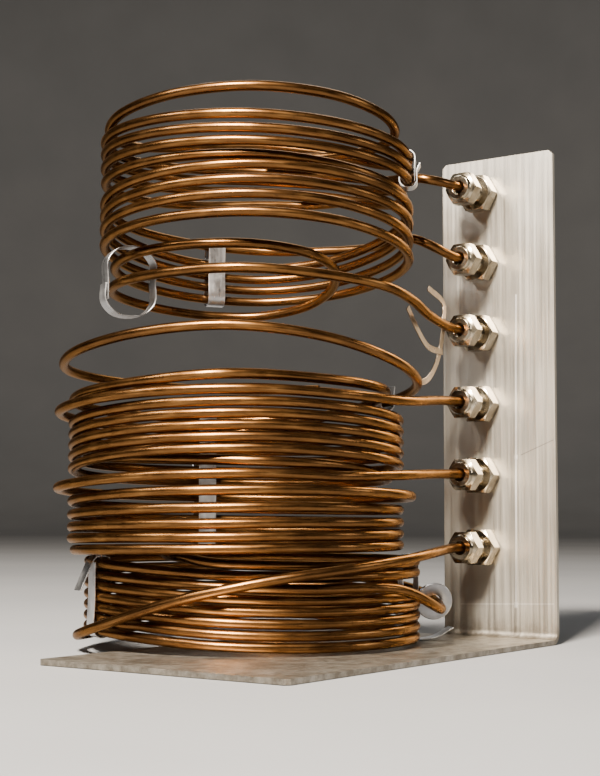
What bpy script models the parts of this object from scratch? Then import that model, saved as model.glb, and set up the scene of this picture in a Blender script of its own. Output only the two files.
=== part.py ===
"""Set of three packed columns of coiled metal tube on a bent sheet bracket.

The tube ends go into six compression bulkhead fittings in a row up the riser, and strips of soft
aluminium hold the turns together. Lengths are metres, +Z is up and +X points from the coils to the
riser. Every place is first worked out from the bracket's front left corner; the model's origin is
under the middle of the whole set.
"""
import math

import bmesh
import bpy
from mathutils import Matrix, Vector

NAME = "gc_column_set"

# Tube
TUBE_OD = 0.003175
TURN_GAP = 0.0003
SEAT_GAP = 0.0003
PITCH = TUBE_OD + TURN_GAP
FACET_TURN = math.radians(20)
LONGEST_FACET = 0.030
STRAIGHT = 0.001

# Bracket
BASE_LENGTH = 0.1626
BASE_WIDTH = 0.0926
SHEET = 0.0016
RISER_WIDTH = 0.0453
RISER_HEIGHT = 0.1762
BEND_RADIUS = 0.0024
BEND_STEPS = 4
CORNER_CUT = 0.0015

# Fittings
FITTING_COUNT = 6
FITTING_PITCH = 0.0259
TOP_FITTING_DROP = 0.0132
FITTING_BACK = 0.0161
BODY_HEX = 0.0127
BODY_HEX_LENGTH = 0.0056
THREAD_RADIUS = 0.0039
NUT_HEX = 0.0111
NUT_LENGTH = 0.0066
NUT_SPACING = 0.0049
NUT_CHAMFER = 0.0011
JAM_NUT_LENGTH = 0.0055
REAR_THREAD_LENGTH = 0.0165
REAR_NUT_LENGTH = 0.0085
REAR_NUT_WALL = 0.00175
FERRULE_LENGTH = 0.0012
NUT_WALL_END = 0.0014
ROUND_STEPS = 12

# Coils: the radius of each tube's centre line, and how far each axis lies from the nuts' faces
LOWER_RADIUS = 0.0558
MIDDLE_RADIUS = 0.0548
UPPER_RADIUS = 0.0523
LOWER_FROM_NUTS = 0.0567
MIDDLE_FROM_NUTS = 0.0667
UPPER_FROM_NUTS = 0.0594
LEAD_SWING = 0.00655
MIDDLE_BELOW_FITTING = 0.0255
FRONT = 215
STEP = 30
LOOP_BACK = 0.003167
LOWER_DENT = 0.0008
LOWER_TIGHT = 1.03
CLIMB_START = 0.74
LOWER_START = 141
SWING_ANGLE = 295
SWING_OUT = 0.0088
SWING_SAG = 0.53
HAIRPIN_BELOW = 0.0045
TIGHT = 1.05
JOIN_LEVEL = 5.5
JOIN_CLOSE = 0.45
JOIN_REACH = 1.3
CROSSING = TUBE_OD + 0.0014

# Ties
STRIP_WIDTH = 0.0064
STRIP_THICKNESS = 0.0004
TAG_RADIUS = 0.0064
TAG_HOLE = 0.0022
TAG_THICKNESS = 0.0010
STRAP_WIDTH = 0.0022
STRIP_BEND = 0.0014
TAG_ANGLE = 303


def fitting_height(number):
    """Height of a fitting's axis; number 1 is the top one."""
    return RISER_HEIGHT - TOP_FITTING_DROP - (number - 1) * FITTING_PITCH


# Places that follow from the sizes above
FITTING_Y = RISER_WIDTH - FITTING_BACK
LEAD_Y = FITTING_Y - LEAD_SWING
NUT_FACE_X = BASE_LENGTH - SHEET - BODY_HEX_LENGTH - NUT_SPACING - NUT_LENGTH
LOWER_CENTRE = (NUT_FACE_X - LOWER_FROM_NUTS, LEAD_Y + LOWER_RADIUS)
MIDDLE_CENTRE = (NUT_FACE_X - MIDDLE_FROM_NUTS, LEAD_Y + MIDDLE_RADIUS)
UPPER_CENTRE = (NUT_FACE_X - UPPER_FROM_NUTS, LEAD_Y + UPPER_RADIUS)
LOWER_BASE = SHEET + SEAT_GAP + STRIP_THICKNESS + SEAT_GAP + TUBE_OD / 2
MIDDLE_BASE = fitting_height(5) - MIDDLE_BELOW_FITTING
UPPER_BASE = MIDDLE_BASE + PITCH * 25.1
LOWER_TURNS = math.floor((MIDDLE_BASE - LOWER_BASE) / (PITCH * LOWER_TIGHT))
SWING_TURN = LOWER_TURNS - 2
REAR_END_X = BASE_LENGTH + REAR_THREAD_LENGTH + REAR_NUT_WALL + SEAT_GAP
COILS_BACK_Y = MIDDLE_CENTRE[1] + MIDDLE_RADIUS + LOOP_BACK + TUBE_OD / 2
ORIGIN = Vector((REAR_END_X / 2, COILS_BACK_Y / 2, 0))


# Curves through space

def polar(centre, angle, radius, height):
    """Point at an angle in degrees round a coil's upright axis."""
    turn = math.radians(angle)
    return Vector((centre[0] + radius * math.cos(turn), centre[1] + radius * math.sin(turn), height))


def smooth_curve(points, fine=12):
    """Centripetal Catmull-Rom curve through the points, as many short steps."""
    first = points[0] * 2 - points[1]
    last = points[-1] * 2 - points[-2]
    guides = [first] + list(points) + [last]
    curve = []
    for a, b, c, d in zip(guides, guides[1:], guides[2:], guides[3:]):
        t1 = (b - a).length ** 0.5
        t2 = t1 + (c - b).length ** 0.5
        t3 = t2 + (d - c).length ** 0.5
        for step in range(fine):
            t = t1 + (t2 - t1) * step / fine
            ab = a.lerp(b, t / t1)
            bc = b.lerp(c, (t - t1) / (t2 - t1))
            cd = c.lerp(d, (t - t2) / (t3 - t2))
            abc = ab.lerp(bc, t / t2)
            bcd = bc.lerp(cd, (t - t1) / (t3 - t1))
            curve.append(abc.lerp(bcd, (t - t1) / (t2 - t1)))
    curve.append(Vector(points[-1]))
    return curve


def thin_out(curve, turn=FACET_TURN, longest=LONGEST_FACET):
    """Keep a point each time the curve has turned by one facet's angle, and where a straight ends."""
    steps = [after - before for before, after in zip(curve, curve[1:])]
    bends = [one.angle(two) for one, two in zip(steps, steps[1:])]
    kept = [curve[0]]
    turned = 0.0
    run = 0.0
    for i, here in enumerate(curve[1:-1]):
        turned += bends[i]
        run += steps[i].length
        beside_straight = min(bends[max(i - 1, 0)], bends[min(i + 1, len(bends) - 1)]) < STRAIGHT
        if turned >= turn or run >= longest or (bends[i] > STRAIGHT and beside_straight):
            kept.append(here)
            turned = 0.0
            run = 0.0
    if (curve[-1] - kept[-1]).length < TUBE_OD and len(kept) > 2:
        kept.pop()
    kept.append(curve[-1])
    return kept


def bump(angle, middle, width):
    """Smooth hump of height 1 round one angle."""
    return math.exp(-((angle - middle) / width) ** 2)


# Loose straps: how far back each lies, and its points as ahead of the nuts, above fitting 3 and further back
STRAPS = (
    ("loose_strap_hooked", LEAD_Y + 0.0095,
     ((0.0249, -0.0207, 0), (0.0184, -0.0197, 0), (0.0114, -0.0157, 0.001), (0.0063, -0.0077, 0.001),
      (0.0057, 0.0023, 0), (0.0039, 0.0093, 0.001), (0.0129, 0.0138, 0.002))),
    ("loose_strap_short", LEAD_Y + 0.0072,
     ((0.0059, -0.0084, 0.0026), (0.0179, -0.0077, 0.0014), (0.0274, -0.0027, 0), (0.0339, 0.0043, 0))))


# Routes of the tubes

def quarter_turns(centre, radius, base, start, keys):
    """Stations of a loose coil; each key is (height in pitches above base, radius added), 90 degrees on."""
    guides = [Vector((base + PITCH * height, radius + extra, 0)) for height, extra in keys]
    values = smooth_curve(guides, 3)
    return [polar(centre, start + STEP * i, value.y, value.x) for i, value in enumerate(values)]


def stacked_height(base, level, angle, front_levels):
    """Height of a turn that lies tight at the back and sides and spread at the front."""
    above = JOIN_LEVEL - level
    tight = level * TIGHT + JOIN_CLOSE * above * math.exp(-(above / JOIN_REACH) ** 2)
    low = max(0, min(len(front_levels) - 2, math.floor(level)))
    part = level - low
    spread = front_levels[low] + (front_levels[low + 1] - front_levels[low]) * part
    weight = ((1 + math.cos(math.radians(angle - FRONT))) / 2) ** 2
    return base + PITCH * (tight + (spread - tight) * weight)


MIDDLE_FRONT_LEVELS = (0.2, 1.24, 2.39, 3.80, 5.32, 6.76, 7.83, 8.95, 9.97, 10.98, 12.04, 13.06, 14.14, 15.35)


def middle_turn(angle, level, bulges):
    """Point on the middle coil; each bulge is (angle, how far out)."""
    radius = MIDDLE_RADIUS
    for bulge_angle, extra in bulges:
        radius += extra * bump(angle, bulge_angle, 38)
    height = stacked_height(MIDDLE_BASE, level, angle, MIDDLE_FRONT_LEVELS)
    return polar(MIDDLE_CENTRE, angle, radius, height)


def fitting_lead(number):
    """Points of the straight tube inside a fitting's nut, from its end outwards."""
    height = fitting_height(number)
    inner = NUT_FACE_X + NUT_LENGTH
    return [Vector((inner, FITTING_Y, height)), Vector((NUT_FACE_X, FITTING_Y, height)),
            Vector((NUT_FACE_X - 0.004, FITTING_Y, height))]


def side_lead(number, rises, joining):
    """From a fitting to the top coils, bent back to pass outside their right side."""
    side = UPPER_CENTRE[0] + UPPER_RADIUS
    plan = ((side - 0.0028, LEAD_Y + 0.0078), (side - 0.0072, LEAD_Y + 0.0102),
            (side - 0.0082, LEAD_Y + 0.0140))
    bend = [Vector((x, y, fitting_height(number) + rise)) for (x, y), rise in zip(plan, rises)]
    beside = [polar(UPPER_CENTRE, angle, UPPER_RADIUS + CROSSING, height) for angle, height in joining]
    return fitting_lead(number) + bend + beside


def front_lead(number, drops):
    """From a fitting slanting forwards to the front of the middle coil."""
    height = fitting_height(number)
    return fitting_lead(number) + [Vector((MIDDLE_CENTRE[0] + 0.048, LEAD_Y + 0.0043, height - drops[0])),
                                   Vector((MIDDLE_CENTRE[0] + 0.020, LEAD_Y, height - drops[1]))]


def upper_bundle_route():
    """From fitting 1 up through the top bundle; the far end lies inside the loose top loop."""
    start = UPPER_BASE + PITCH * 11.9
    joining = ((-37, start + 0.0022), (-12, start + 0.0006), (12, start))
    lead = side_lead(1, (0.0002, 0.0005, 0.0014), joining)
    keys = ((11.9, 0), (10.6, 0), (10.55, -0.0032), (9.25, -0.0016),
            (13.4, 0), (12.0, 0), (11.6, 0), (10.85, 0),
            (14.5, 0), (13.4, 0), (12.75, 0), (12.0, 0),
            (15.6, 0), (14.55, 0), (14.0, 0.0006), (13.2, 0),
            (18.4, 0), (15.8, -0.0012), (16.7, -0.0014), (15.9, -0.0048),
            (16.8, -0.0064))
    return lead + quarter_turns(UPPER_CENTRE, UPPER_RADIUS, UPPER_BASE, 35, keys)


def lower_bundle_route():
    """From fitting 2 down through the second bundle and a small loose loop to fitting 3."""
    start = UPPER_BASE + PITCH * 6.75
    joining = ((-37, start - 0.0014), (-5, start - 0.0006))
    lead = side_lead(2, (0.0014, 0.0031, 0.0050), joining)
    keys = ((6.75, 0), (8.2, 0), (9.45, 0), (7.95, 0),
            (4.8, 0), (7.0, 0), (8.1, 0), (6.6, 0),
            (3.6, 0), (5.7, 0), (6.75, 0), (4.9, 0),
            (2.4, 0), (4.2, 0), (5.1, 0), (3.2, 0),
            (1.15, 0), (2.3, -0.0033), (2.95, -0.0150), (1.45, -0.0250),
            (-1.0, -0.0160), (-0.2, -0.0032), (0.0, 0.0004))
    turns = quarter_turns(UPPER_CENTRE, UPPER_RADIUS, UPPER_BASE, 35, keys)
    end = fitting_height(3)
    last = [Vector((UPPER_CENTRE[0] - 0.0060, LEAD_Y, end + 0.0078)),
            Vector((UPPER_CENTRE[0] + 0.0180, LEAD_Y + 0.0007, end + 0.0052)),
            Vector((UPPER_CENTRE[0] + 0.0305, LEAD_Y + 0.0025, end + 0.0022)),
            Vector((UPPER_CENTRE[0] + 0.0451, LEAD_Y + 0.0048, end + 0.0004))]
    return lead + turns + last + fitting_lead(3)[::-1]


def middle_route():
    """From fitting 4 down through the middle coil, up inside it and round its loose top loop."""
    lead = front_lead(4, (0.0008, 0.0030))
    top_level = len(MIDDLE_FRONT_LEVELS) - 2
    last_level = 6
    end_angle = FRONT - 360 * (top_level - last_level)
    angles = [255 - STEP * i for i in range(round((255 - end_angle) / STEP) + 1)]
    dent_angle = end_angle + 72
    bulges = ((142, 0.0048), (dent_angle, -0.0050))
    turns = [middle_turn(a, top_level + (a - FRONT) / 360, bulges) for a in angles]
    inside = MIDDLE_RADIUS - CROSSING
    rise = ((-40, 8.2), (-90, 8.9), (-135, 10.2), (-180, 12.0), (-225, 13.7), (-270, 14.9), (-305, 15.25))
    climb = [polar(MIDDLE_CENTRE, end_angle + a, inside, MIDDLE_BASE + PITCH * level) for a, level in rise]
    keys = ((15.45, 0), (13.95, 0), (13.3, 0), (15.8, 0.0062),
            (19.7, 0.0008), (17.4, 0.0036), (16.6, 0.0020), (16.5, -0.0010))
    loop_guides = [Vector((MIDDLE_BASE + PITCH * h, MIDDLE_RADIUS + extra, 0)) for h, extra in keys]
    loops = [polar(MIDDLE_CENTRE, end_angle - 360 - STEP * i, value.y, value.x)
             for i, value in enumerate(smooth_curve(loop_guides, 3))]
    return lead + turns + climb + loops[:-2]


def lower_turn(angle):
    """Point on the bottom coil: level rows that step up near the left side, one of them swung out."""
    turns = max(0.0, (LOWER_START - angle) / 360)
    part = max(0.0, (turns % 1 - CLIMB_START) / (1 - CLIMB_START))
    level = math.floor(turns) + part * part * (3 - 2 * part)
    swing_angle = SWING_ANGLE - 360 * SWING_TURN
    radius = LOWER_RADIUS - LOWER_DENT * bump(angle % 360, 152, 40)
    radius += SWING_OUT * bump(angle, swing_angle, 46)
    sag = SWING_SAG * bump(angle, TAG_ANGLE - 360 * SWING_TURN, 22)
    height = LOWER_BASE + PITCH * LOWER_TIGHT * level * (1 - sag)
    return polar(LOWER_CENTRE, angle, radius, height)


def long_column_route():
    """From fitting 5 down the middle coil, through a hairpin inside, and round the bottom coil to 6."""
    lead = front_lead(5, (0.0003, 0.0014))
    first_level = 5
    last_angle = FRONT - 360 * first_level - 60
    bulges = ((138, 0.0048), (-58, 0.0045))
    angles = [255 - STEP * i for i in range(round((255 - last_angle) / STEP) + 1)]
    turns = [middle_turn(a, first_level + (a - FRONT) / 360, bulges) for a in angles]
    low = MIDDLE_BASE - HAIRPIN_BELOW
    hairpin = ((0.0500, 0.1242, 0.0034), (0.0600, 0.1222, 0.0032), (0.0665, 0.1130, 0.0030),
               (0.0660, 0.1020, 0.0029), (0.0600, 0.0940, 0.0028), (0.0500, 0.0850, 0.0026),
               (0.0420, 0.0755, 0.0024), (0.0370, 0.0665, 0.0022))
    bend = [Vector((x, y, low + z)) for x, y, z in hairpin]
    final = LOWER_START - 360 * LOWER_TURNS
    wound = [lower_turn(final + 64 + STEP * i) for i in range(round((360 * LOWER_TURNS - 100) / STEP) + 1)]
    outside = LOWER_RADIUS + CROSSING + 0.0002
    climb = fitting_height(6) - LOWER_BASE
    stations = ((120, -CROSSING - 0.0006, 0), (143, -0.0012, 0.041), (165, -0.0002, 0.191), (198, 0, 0.519),
                (221, 0, 0.696), (244, 0, 0.806), (270, -0.0008, 0.894))
    diagonal = [polar(LOWER_CENTRE, angle, outside + extra, LOWER_BASE + climb * part)
                for angle, extra, part in stations]
    diagonal.append(Vector((LOWER_CENTRE[0] + 0.022, LEAD_Y - 0.0020, LOWER_BASE + climb * 0.956)))
    return lead + turns + bend + wound + diagonal + fitting_lead(6)[::-1]


# Materials

def principled(name, colour, roughness, metallic):
    """Plain surface with one colour."""
    material = bpy.data.materials.new(name)
    material.use_nodes = True
    shader = material.node_tree.nodes["Principled BSDF"]
    shader.inputs["Base Color"].default_value = (*colour, 1)
    shader.inputs["Roughness"].default_value = roughness
    shader.inputs["Metallic"].default_value = metallic
    material.diffuse_color = (*colour, 1)
    return material


# Making objects

def new_collection(name):
    collection = bpy.data.collections.new(name)
    bpy.context.scene.collection.children.link(collection)
    return collection


def add_object(name, data, collection, material=None, place=(0, 0, 0)):
    """Object in the collection, at a place measured from the bracket's corner."""
    item = bpy.data.objects.new(name, data)
    item.location = Vector(place) - ORIGIN
    collection.objects.link(item)
    if material:
        data.materials.append(material)
    return item


def mesh_from(make_mesh, name):
    """Mesh data filled by a function that works on a bmesh."""
    work = bmesh.new()
    make_mesh(work)
    mesh = bpy.data.meshes.new(name)
    work.to_mesh(mesh)
    work.free()
    return mesh


def smooth_faces(mesh, angle=50):
    mesh.shade_smooth()
    mesh.set_sharp_from_angle(angle=math.radians(angle))


def make_tube(name, points, collection, material):
    """Tube along a line of points, with flat closed ends."""
    curve = bpy.data.curves.new(name, "CURVE")
    curve.dimensions = "3D"
    curve.bevel_depth = TUBE_OD / 2
    curve.bevel_resolution = 2
    curve.use_fill_caps = True
    curve.resolution_u = 1
    spline = curve.splines.new("POLY")
    spline.points.add(len(points) - 1)
    for slot, point in zip(spline.points, points):
        slot.co = (*point, 1)
    return add_object(name, curve, collection, material)


def add_boolean(item, cutter, operation="DIFFERENCE"):
    modifier = item.modifiers.new(cutter.name, "BOOLEAN")
    modifier.operation = operation
    modifier.solver = "EXACT"
    modifier.object = cutter


def round_cutter(name, radius, length, place, collection, steps=2 * ROUND_STEPS):
    """Cylinder along X that cuts a hole and is not itself part of the object."""
    def fill(work):
        bmesh.ops.create_cone(work, cap_ends=True, segments=steps, radius1=radius, radius2=radius,
                              depth=length, matrix=Matrix.Rotation(math.pi / 2, 4, "Y"))
    cutter = add_object(name, mesh_from(fill, name), collection, place=place)
    cutter.hide_render = True
    cutter.display_type = "WIRE"
    return cutter


# Bracket

def make_bracket(collection, cutters, material):
    """Base, bend and narrower riser folded from one sheet, with six holes up the riser."""
    bend_start = BASE_LENGTH - SHEET - BEND_RADIUS
    outer = BEND_RADIUS + SHEET

    def fill(work):
        cut = CORNER_CUT
        base = [(cut, 0), (bend_start, 0), (bend_start, RISER_WIDTH), (bend_start, BASE_WIDTH - cut),
                (bend_start - cut, BASE_WIDTH), (cut, BASE_WIDTH), (0, BASE_WIDTH - cut), (0, cut)]
        corners = [work.verts.new((x, y, 0)) for x, y in base]
        work.faces.new(corners)
        near, far = corners[1], corners[2]
        for step in range(1, BEND_STEPS + 1):
            angle = math.pi / 2 * step / BEND_STEPS
            x = bend_start + outer * math.sin(angle)
            z = outer * (1 - math.cos(angle))
            next_near = work.verts.new((x, 0, z))
            next_far = work.verts.new((x, RISER_WIDTH, z))
            work.faces.new((near, next_near, next_far, far))
            near, far = next_near, next_far
        rows = [(near, far)]
        for height, inset in ((RISER_HEIGHT - cut, 0), (RISER_HEIGHT, cut)):
            near = work.verts.new((BASE_LENGTH, inset, height))
            far = work.verts.new((BASE_LENGTH, RISER_WIDTH - inset, height))
            rows.append((near, far))
        for (near, far), (next_near, next_far) in zip(rows, rows[1:]):
            work.faces.new((near, next_near, next_far, far))
        bmesh.ops.recalc_face_normals(work, faces=work.faces)
        if work.faces[0].normal.z > 0:
            bmesh.ops.reverse_faces(work, faces=work.faces)

    bracket = add_object("bracket", mesh_from(fill, "bracket"), collection, material)
    wall = bracket.modifiers.new("sheet", "SOLIDIFY")
    wall.thickness = SHEET
    wall.offset = -1
    wall.use_even_offset = True
    for number in range(1, FITTING_COUNT + 1):
        place = (BASE_LENGTH - SHEET / 2, FITTING_Y, fitting_height(number))
        cutter = round_cutter(f"riser_hole_{number}", THREAD_RADIUS + SEAT_GAP, 4 * SHEET, place, cutters)
        add_boolean(bracket, cutter)
    return bracket


# Fittings

def ring_of(work, radius, x, steps, phase=0.0):
    """Ring of points round the X axis."""
    return [work.verts.new((x, radius * math.cos(phase + 2 * math.pi * i / steps),
                            radius * math.sin(phase + 2 * math.pi * i / steps))) for i in range(steps)]


def bridge(work, rings, closed=True):
    """Skin between rings of equal counts; closed joins the last ring to the first."""
    pairs = list(zip(rings, rings[1:]))
    if closed:
        pairs.append((rings[-1], rings[0]))
    for one, other in pairs:
        count = len(one)
        for i in range(count):
            work.faces.new((one[i], one[(i + 1) % count], other[(i + 1) % count], other[i]))
    bmesh.ops.recalc_face_normals(work, faces=work.faces)


def hex_ring(work, across_flats, x, chamfer=0.0):
    """Twelve points of a hexagon: its corners and the middles of its flats."""
    corner = across_flats / math.sqrt(3) - chamfer
    flat = min(across_flats / 2, corner)
    points = []
    for i in range(ROUND_STEPS):
        radius = corner if i % 2 == 0 else flat
        angle = 2 * math.pi * i / ROUND_STEPS
        points.append(work.verts.new((x, radius * math.cos(angle), radius * math.sin(angle))))
    return points


def nut_mesh(name, length, bore, wall_end):
    """Hexagonal nut along +X with a chamfered face, a tube hole and a wide threaded hole behind it."""
    def fill(work):
        face_radius = NUT_HEX / 2 - 0.0006
        thread = THREAD_RADIUS + SEAT_GAP
        rings = [ring_of(work, bore, 0, ROUND_STEPS),
                 ring_of(work, face_radius, 0, ROUND_STEPS),
                 hex_ring(work, NUT_HEX, NUT_CHAMFER),
                 hex_ring(work, NUT_HEX, length - 0.0004),
                 hex_ring(work, NUT_HEX, length, 0.0004),
                 ring_of(work, thread, length, ROUND_STEPS),
                 ring_of(work, thread, wall_end, ROUND_STEPS),
                 ring_of(work, bore, wall_end, ROUND_STEPS)]
        bridge(work, rings)
    mesh = mesh_from(fill, name)
    smooth_faces(mesh, 25)
    return mesh


def body_mesh(name):
    """Bulkhead body: threaded front stub, hexagon, threaded rear stub; origin on the riser's front face."""
    bore = TUBE_OD / 2 + SEAT_GAP

    def fill(work):
        front = BODY_HEX_LENGTH + NUT_SPACING + NUT_LENGTH - NUT_WALL_END - 2 * FERRULE_LENGTH - 2 * SEAT_GAP
        rear = SHEET + REAR_THREAD_LENGTH
        rings = [ring_of(work, bore, -front, ROUND_STEPS),
                 ring_of(work, THREAD_RADIUS - 0.0004, -front, ROUND_STEPS),
                 ring_of(work, THREAD_RADIUS, -front + 0.0005, ROUND_STEPS),
                 ring_of(work, THREAD_RADIUS, -BODY_HEX_LENGTH, ROUND_STEPS),
                 hex_ring(work, BODY_HEX, -BODY_HEX_LENGTH, 0.0006),
                 hex_ring(work, BODY_HEX, -BODY_HEX_LENGTH + 0.0006),
                 hex_ring(work, BODY_HEX, -SEAT_GAP),
                 ring_of(work, THREAD_RADIUS, -SEAT_GAP, ROUND_STEPS),
                 ring_of(work, THREAD_RADIUS, rear - 0.0005, ROUND_STEPS),
                 ring_of(work, THREAD_RADIUS - 0.0004, rear, ROUND_STEPS),
                 ring_of(work, bore, rear, ROUND_STEPS)]
        bridge(work, rings)
    mesh = mesh_from(fill, name)
    smooth_faces(mesh, 25)
    return mesh


def jam_nut_mesh(name):
    """Thin hexagonal nut that clamps the body to the riser."""
    def fill(work):
        thread = THREAD_RADIUS + SEAT_GAP
        rings = [ring_of(work, thread, 0, ROUND_STEPS),
                 hex_ring(work, BODY_HEX, 0),
                 hex_ring(work, BODY_HEX, JAM_NUT_LENGTH - 0.0006),
                 hex_ring(work, BODY_HEX, JAM_NUT_LENGTH, 0.0007),
                 ring_of(work, thread, JAM_NUT_LENGTH, ROUND_STEPS)]
        bridge(work, rings)
    mesh = mesh_from(fill, name)
    smooth_faces(mesh, 25)
    return mesh


def ferrule_mesh(name, front_radius, back_radius):
    """Tapered sealing ring on the tube."""
    steps = 8
    bore = (TUBE_OD / 2 + SEAT_GAP) / math.cos(math.pi / steps)

    def fill(work):
        rings = [ring_of(work, bore, 0, steps), ring_of(work, front_radius, 0, steps),
                 ring_of(work, back_radius, FERRULE_LENGTH, steps),
                 ring_of(work, bore, FERRULE_LENGTH, steps)]
        bridge(work, rings)
    mesh = mesh_from(fill, name)
    smooth_faces(mesh, 40)
    return mesh


def make_fittings(collection, steel):
    """Six bulkhead fittings; each has a body, front nut, two ferrules, jam nut and rear nut."""
    riser_front = BASE_LENGTH - SHEET
    tube_hole = TUBE_OD / 2 + 0.0005
    body = body_mesh("fitting_body")
    front_nut = nut_mesh("front_nut", NUT_LENGTH, tube_hole, NUT_WALL_END)
    rear_nut = nut_mesh("rear_nut", REAR_NUT_LENGTH, tube_hole, REAR_NUT_WALL)
    jam_nut = jam_nut_mesh("jam_nut")
    back_ferrule = ferrule_mesh("back_ferrule", THREAD_RADIUS - 0.0005, THREAD_RADIUS - 0.0011)
    front_ferrule = ferrule_mesh("front_ferrule", THREAD_RADIUS - 0.0005, TUBE_OD / 2 + 0.0010)
    for mesh in (body, front_nut, rear_nut, jam_nut, back_ferrule, front_ferrule):
        mesh.materials.append(steel)
    ferrule_seat = NUT_FACE_X + NUT_WALL_END + SEAT_GAP / 2
    for number in range(1, FITTING_COUNT + 1):
        height = fitting_height(number)
        add_object(f"fitting_body_{number}", body, collection, place=(riser_front, FITTING_Y, height))
        add_object(f"front_nut_{number}", front_nut, collection, place=(NUT_FACE_X, FITTING_Y, height))
        add_object(f"jam_nut_{number}", jam_nut, collection,
                   place=(BASE_LENGTH + SEAT_GAP, FITTING_Y, height))
        rear = add_object(f"rear_nut_{number}", rear_nut, collection, place=(REAR_END_X, FITTING_Y, height))
        rear.rotation_euler = (0, 0, math.pi)
        add_object(f"back_ferrule_{number}", back_ferrule, collection,
                   place=(ferrule_seat, FITTING_Y, height))
        add_object(f"front_ferrule_{number}", front_ferrule, collection,
                   place=(ferrule_seat + FERRULE_LENGTH + SEAT_GAP / 2, FITTING_Y, height))


# Ties, tag and straps

def box_round(lines, centre, angle, low, high, reach):
    """Inner and outer radius and least and greatest height of the tubes that a tie goes round."""
    turn = math.radians(angle)
    out = Vector((math.cos(turn), math.sin(turn), 0))
    along = Vector((-out.y, out.x, 0))
    middle = Vector((centre[0], centre[1], 0))
    radii = []
    heights = []
    for line in lines:
        for start, end in zip(line, line[1:]):
            for step in range(12):
                point = start.lerp(end, step / 12) - middle
                near = abs(point.dot(along)) < STRIP_WIDTH * 0.7
                if near and low < point.z < high and abs(point.dot(out) - reach[0]) < reach[1]:
                    radii.append(point.dot(out))
                    heights.append(point.z)
    edge = TUBE_OD / 2 + SEAT_GAP + STRIP_THICKNESS / 2
    return min(radii) - edge, max(radii) + edge, min(heights) - edge, max(heights) + edge


def make_strip(name, points, sides, collection, material):
    """Flat strip along the points; each side is the half-width there, as a vector."""
    def fill(work):
        rows = [(work.verts.new(p - s), work.verts.new(p + s)) for p, s in zip(points, sides)]
        for (a, b), (c, d) in zip(rows, rows[1:]):
            work.faces.new((a, b, d, c))
    strip = add_object(name, mesh_from(fill, name), collection, material)
    wall = strip.modifiers.new("strip", "SOLIDIFY")
    wall.thickness = STRIP_THICKNESS
    wall.offset = 0
    wall.use_even_offset = True
    return strip


def make_tie(name, box, centre, angle, slack, bend, ending, collection, material):
    """Strip bent round a bundle, its end lapped over its start; slack is outwards, inwards and down."""
    inner, outer, low, high = box
    outer += slack[0]
    inner -= slack[1]
    low -= slack[2]
    start, end, up = (low, high, 1) if bend > 0 else (high, low, -1)
    bend = abs(bend)
    lap = outer + STRIP_THICKNESS + SEAT_GAP
    middle = (low + high) / 2
    path = [(outer, start + up * (bend + STRIP_THICKNESS)), (outer, middle), (outer, end - up * bend),
            (outer - bend, end), (inner + bend, end), (inner, end - up * bend), (inner, middle),
            (inner, start + up * bend), (inner + bend, start)]
    path += [(lap + out, start + up * rise) for out, rise in ending]
    turn = math.radians(angle)
    side = Vector((-math.sin(turn), math.cos(turn), 0)) * (STRIP_WIDTH / 2)
    points = [polar(centre, angle, radius, height) for radius, height in path]
    return make_strip(name, points, [side] * len(points), collection, material)


def make_ties(lines, collection, material):
    """Seven strips; each row is name, coil, angle, levels it spans, reach, slack, bend and ending.

    A negative bend starts the strip at the top, so that its end hangs down.
    """
    upper = (UPPER_CENTRE, UPPER_RADIUS, UPPER_BASE)
    middle = (MIDDLE_CENTRE, MIDDLE_RADIUS, MIDDLE_BASE)
    lower = (LOWER_CENTRE, LOWER_RADIUS, LOWER_BASE)
    none = (0, 0, 0)
    turned_up = ((-STRIP_BEND, 0), (0, STRIP_BEND))
    rows = (("tie_top_right", upper, 300, (10.0, 14.6), 0.008, none, STRIP_BEND,
             turned_up + ((0, 0.0050), (0.0012, 0.0080))),
            ("tie_top_back", upper, 55, (0.6, 8.2), 0.006, none, STRIP_BEND,
             turned_up + ((0, 0.0120), (0.0020, 0.0160))),
            ("tie_top_left", upper, 150, (-1.0, 3.6), 0.012, (0.0022, 0.0050, 0.0080), 0.0042,
             ((-0.0042, 0), (0, 0.0042), (0, 0.0100))),
            ("tie_middle_right", middle, 336, (14.2, 17.6), 0.005, none, STRIP_BEND,
             turned_up + ((0, 0.0050), (0.0004, 0.0085))),
            ("tie_middle_back", middle, 51, (-0.1, 15.5), 0.008, none, STRIP_BEND,
             turned_up + ((0, 0.0260), (0.0020, 0.0300))),
            ("tie_bottom_left", lower, 152, (-0.6, 7.7), 0.003, none, -STRIP_BEND,
             turned_up + ((0.0016, 0.0050), (0.0042, 0.0110))),
            ("tie_bottom_right", lower, 316, (-0.6, 7.7), 0.005, none, STRIP_BEND,
             ((0.0010, 0), (0.0060, 0.0008), (0.0121, 0.0040))))
    for name, (centre, radius, base), angle, (low, high), reach, slack, bend, ending in rows:
        box = box_round(lines, centre, angle, base + PITCH * low, base + PITCH * high, (radius, reach))
        make_tie(name, box, centre, angle, slack, bend, ending, collection, material)


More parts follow.
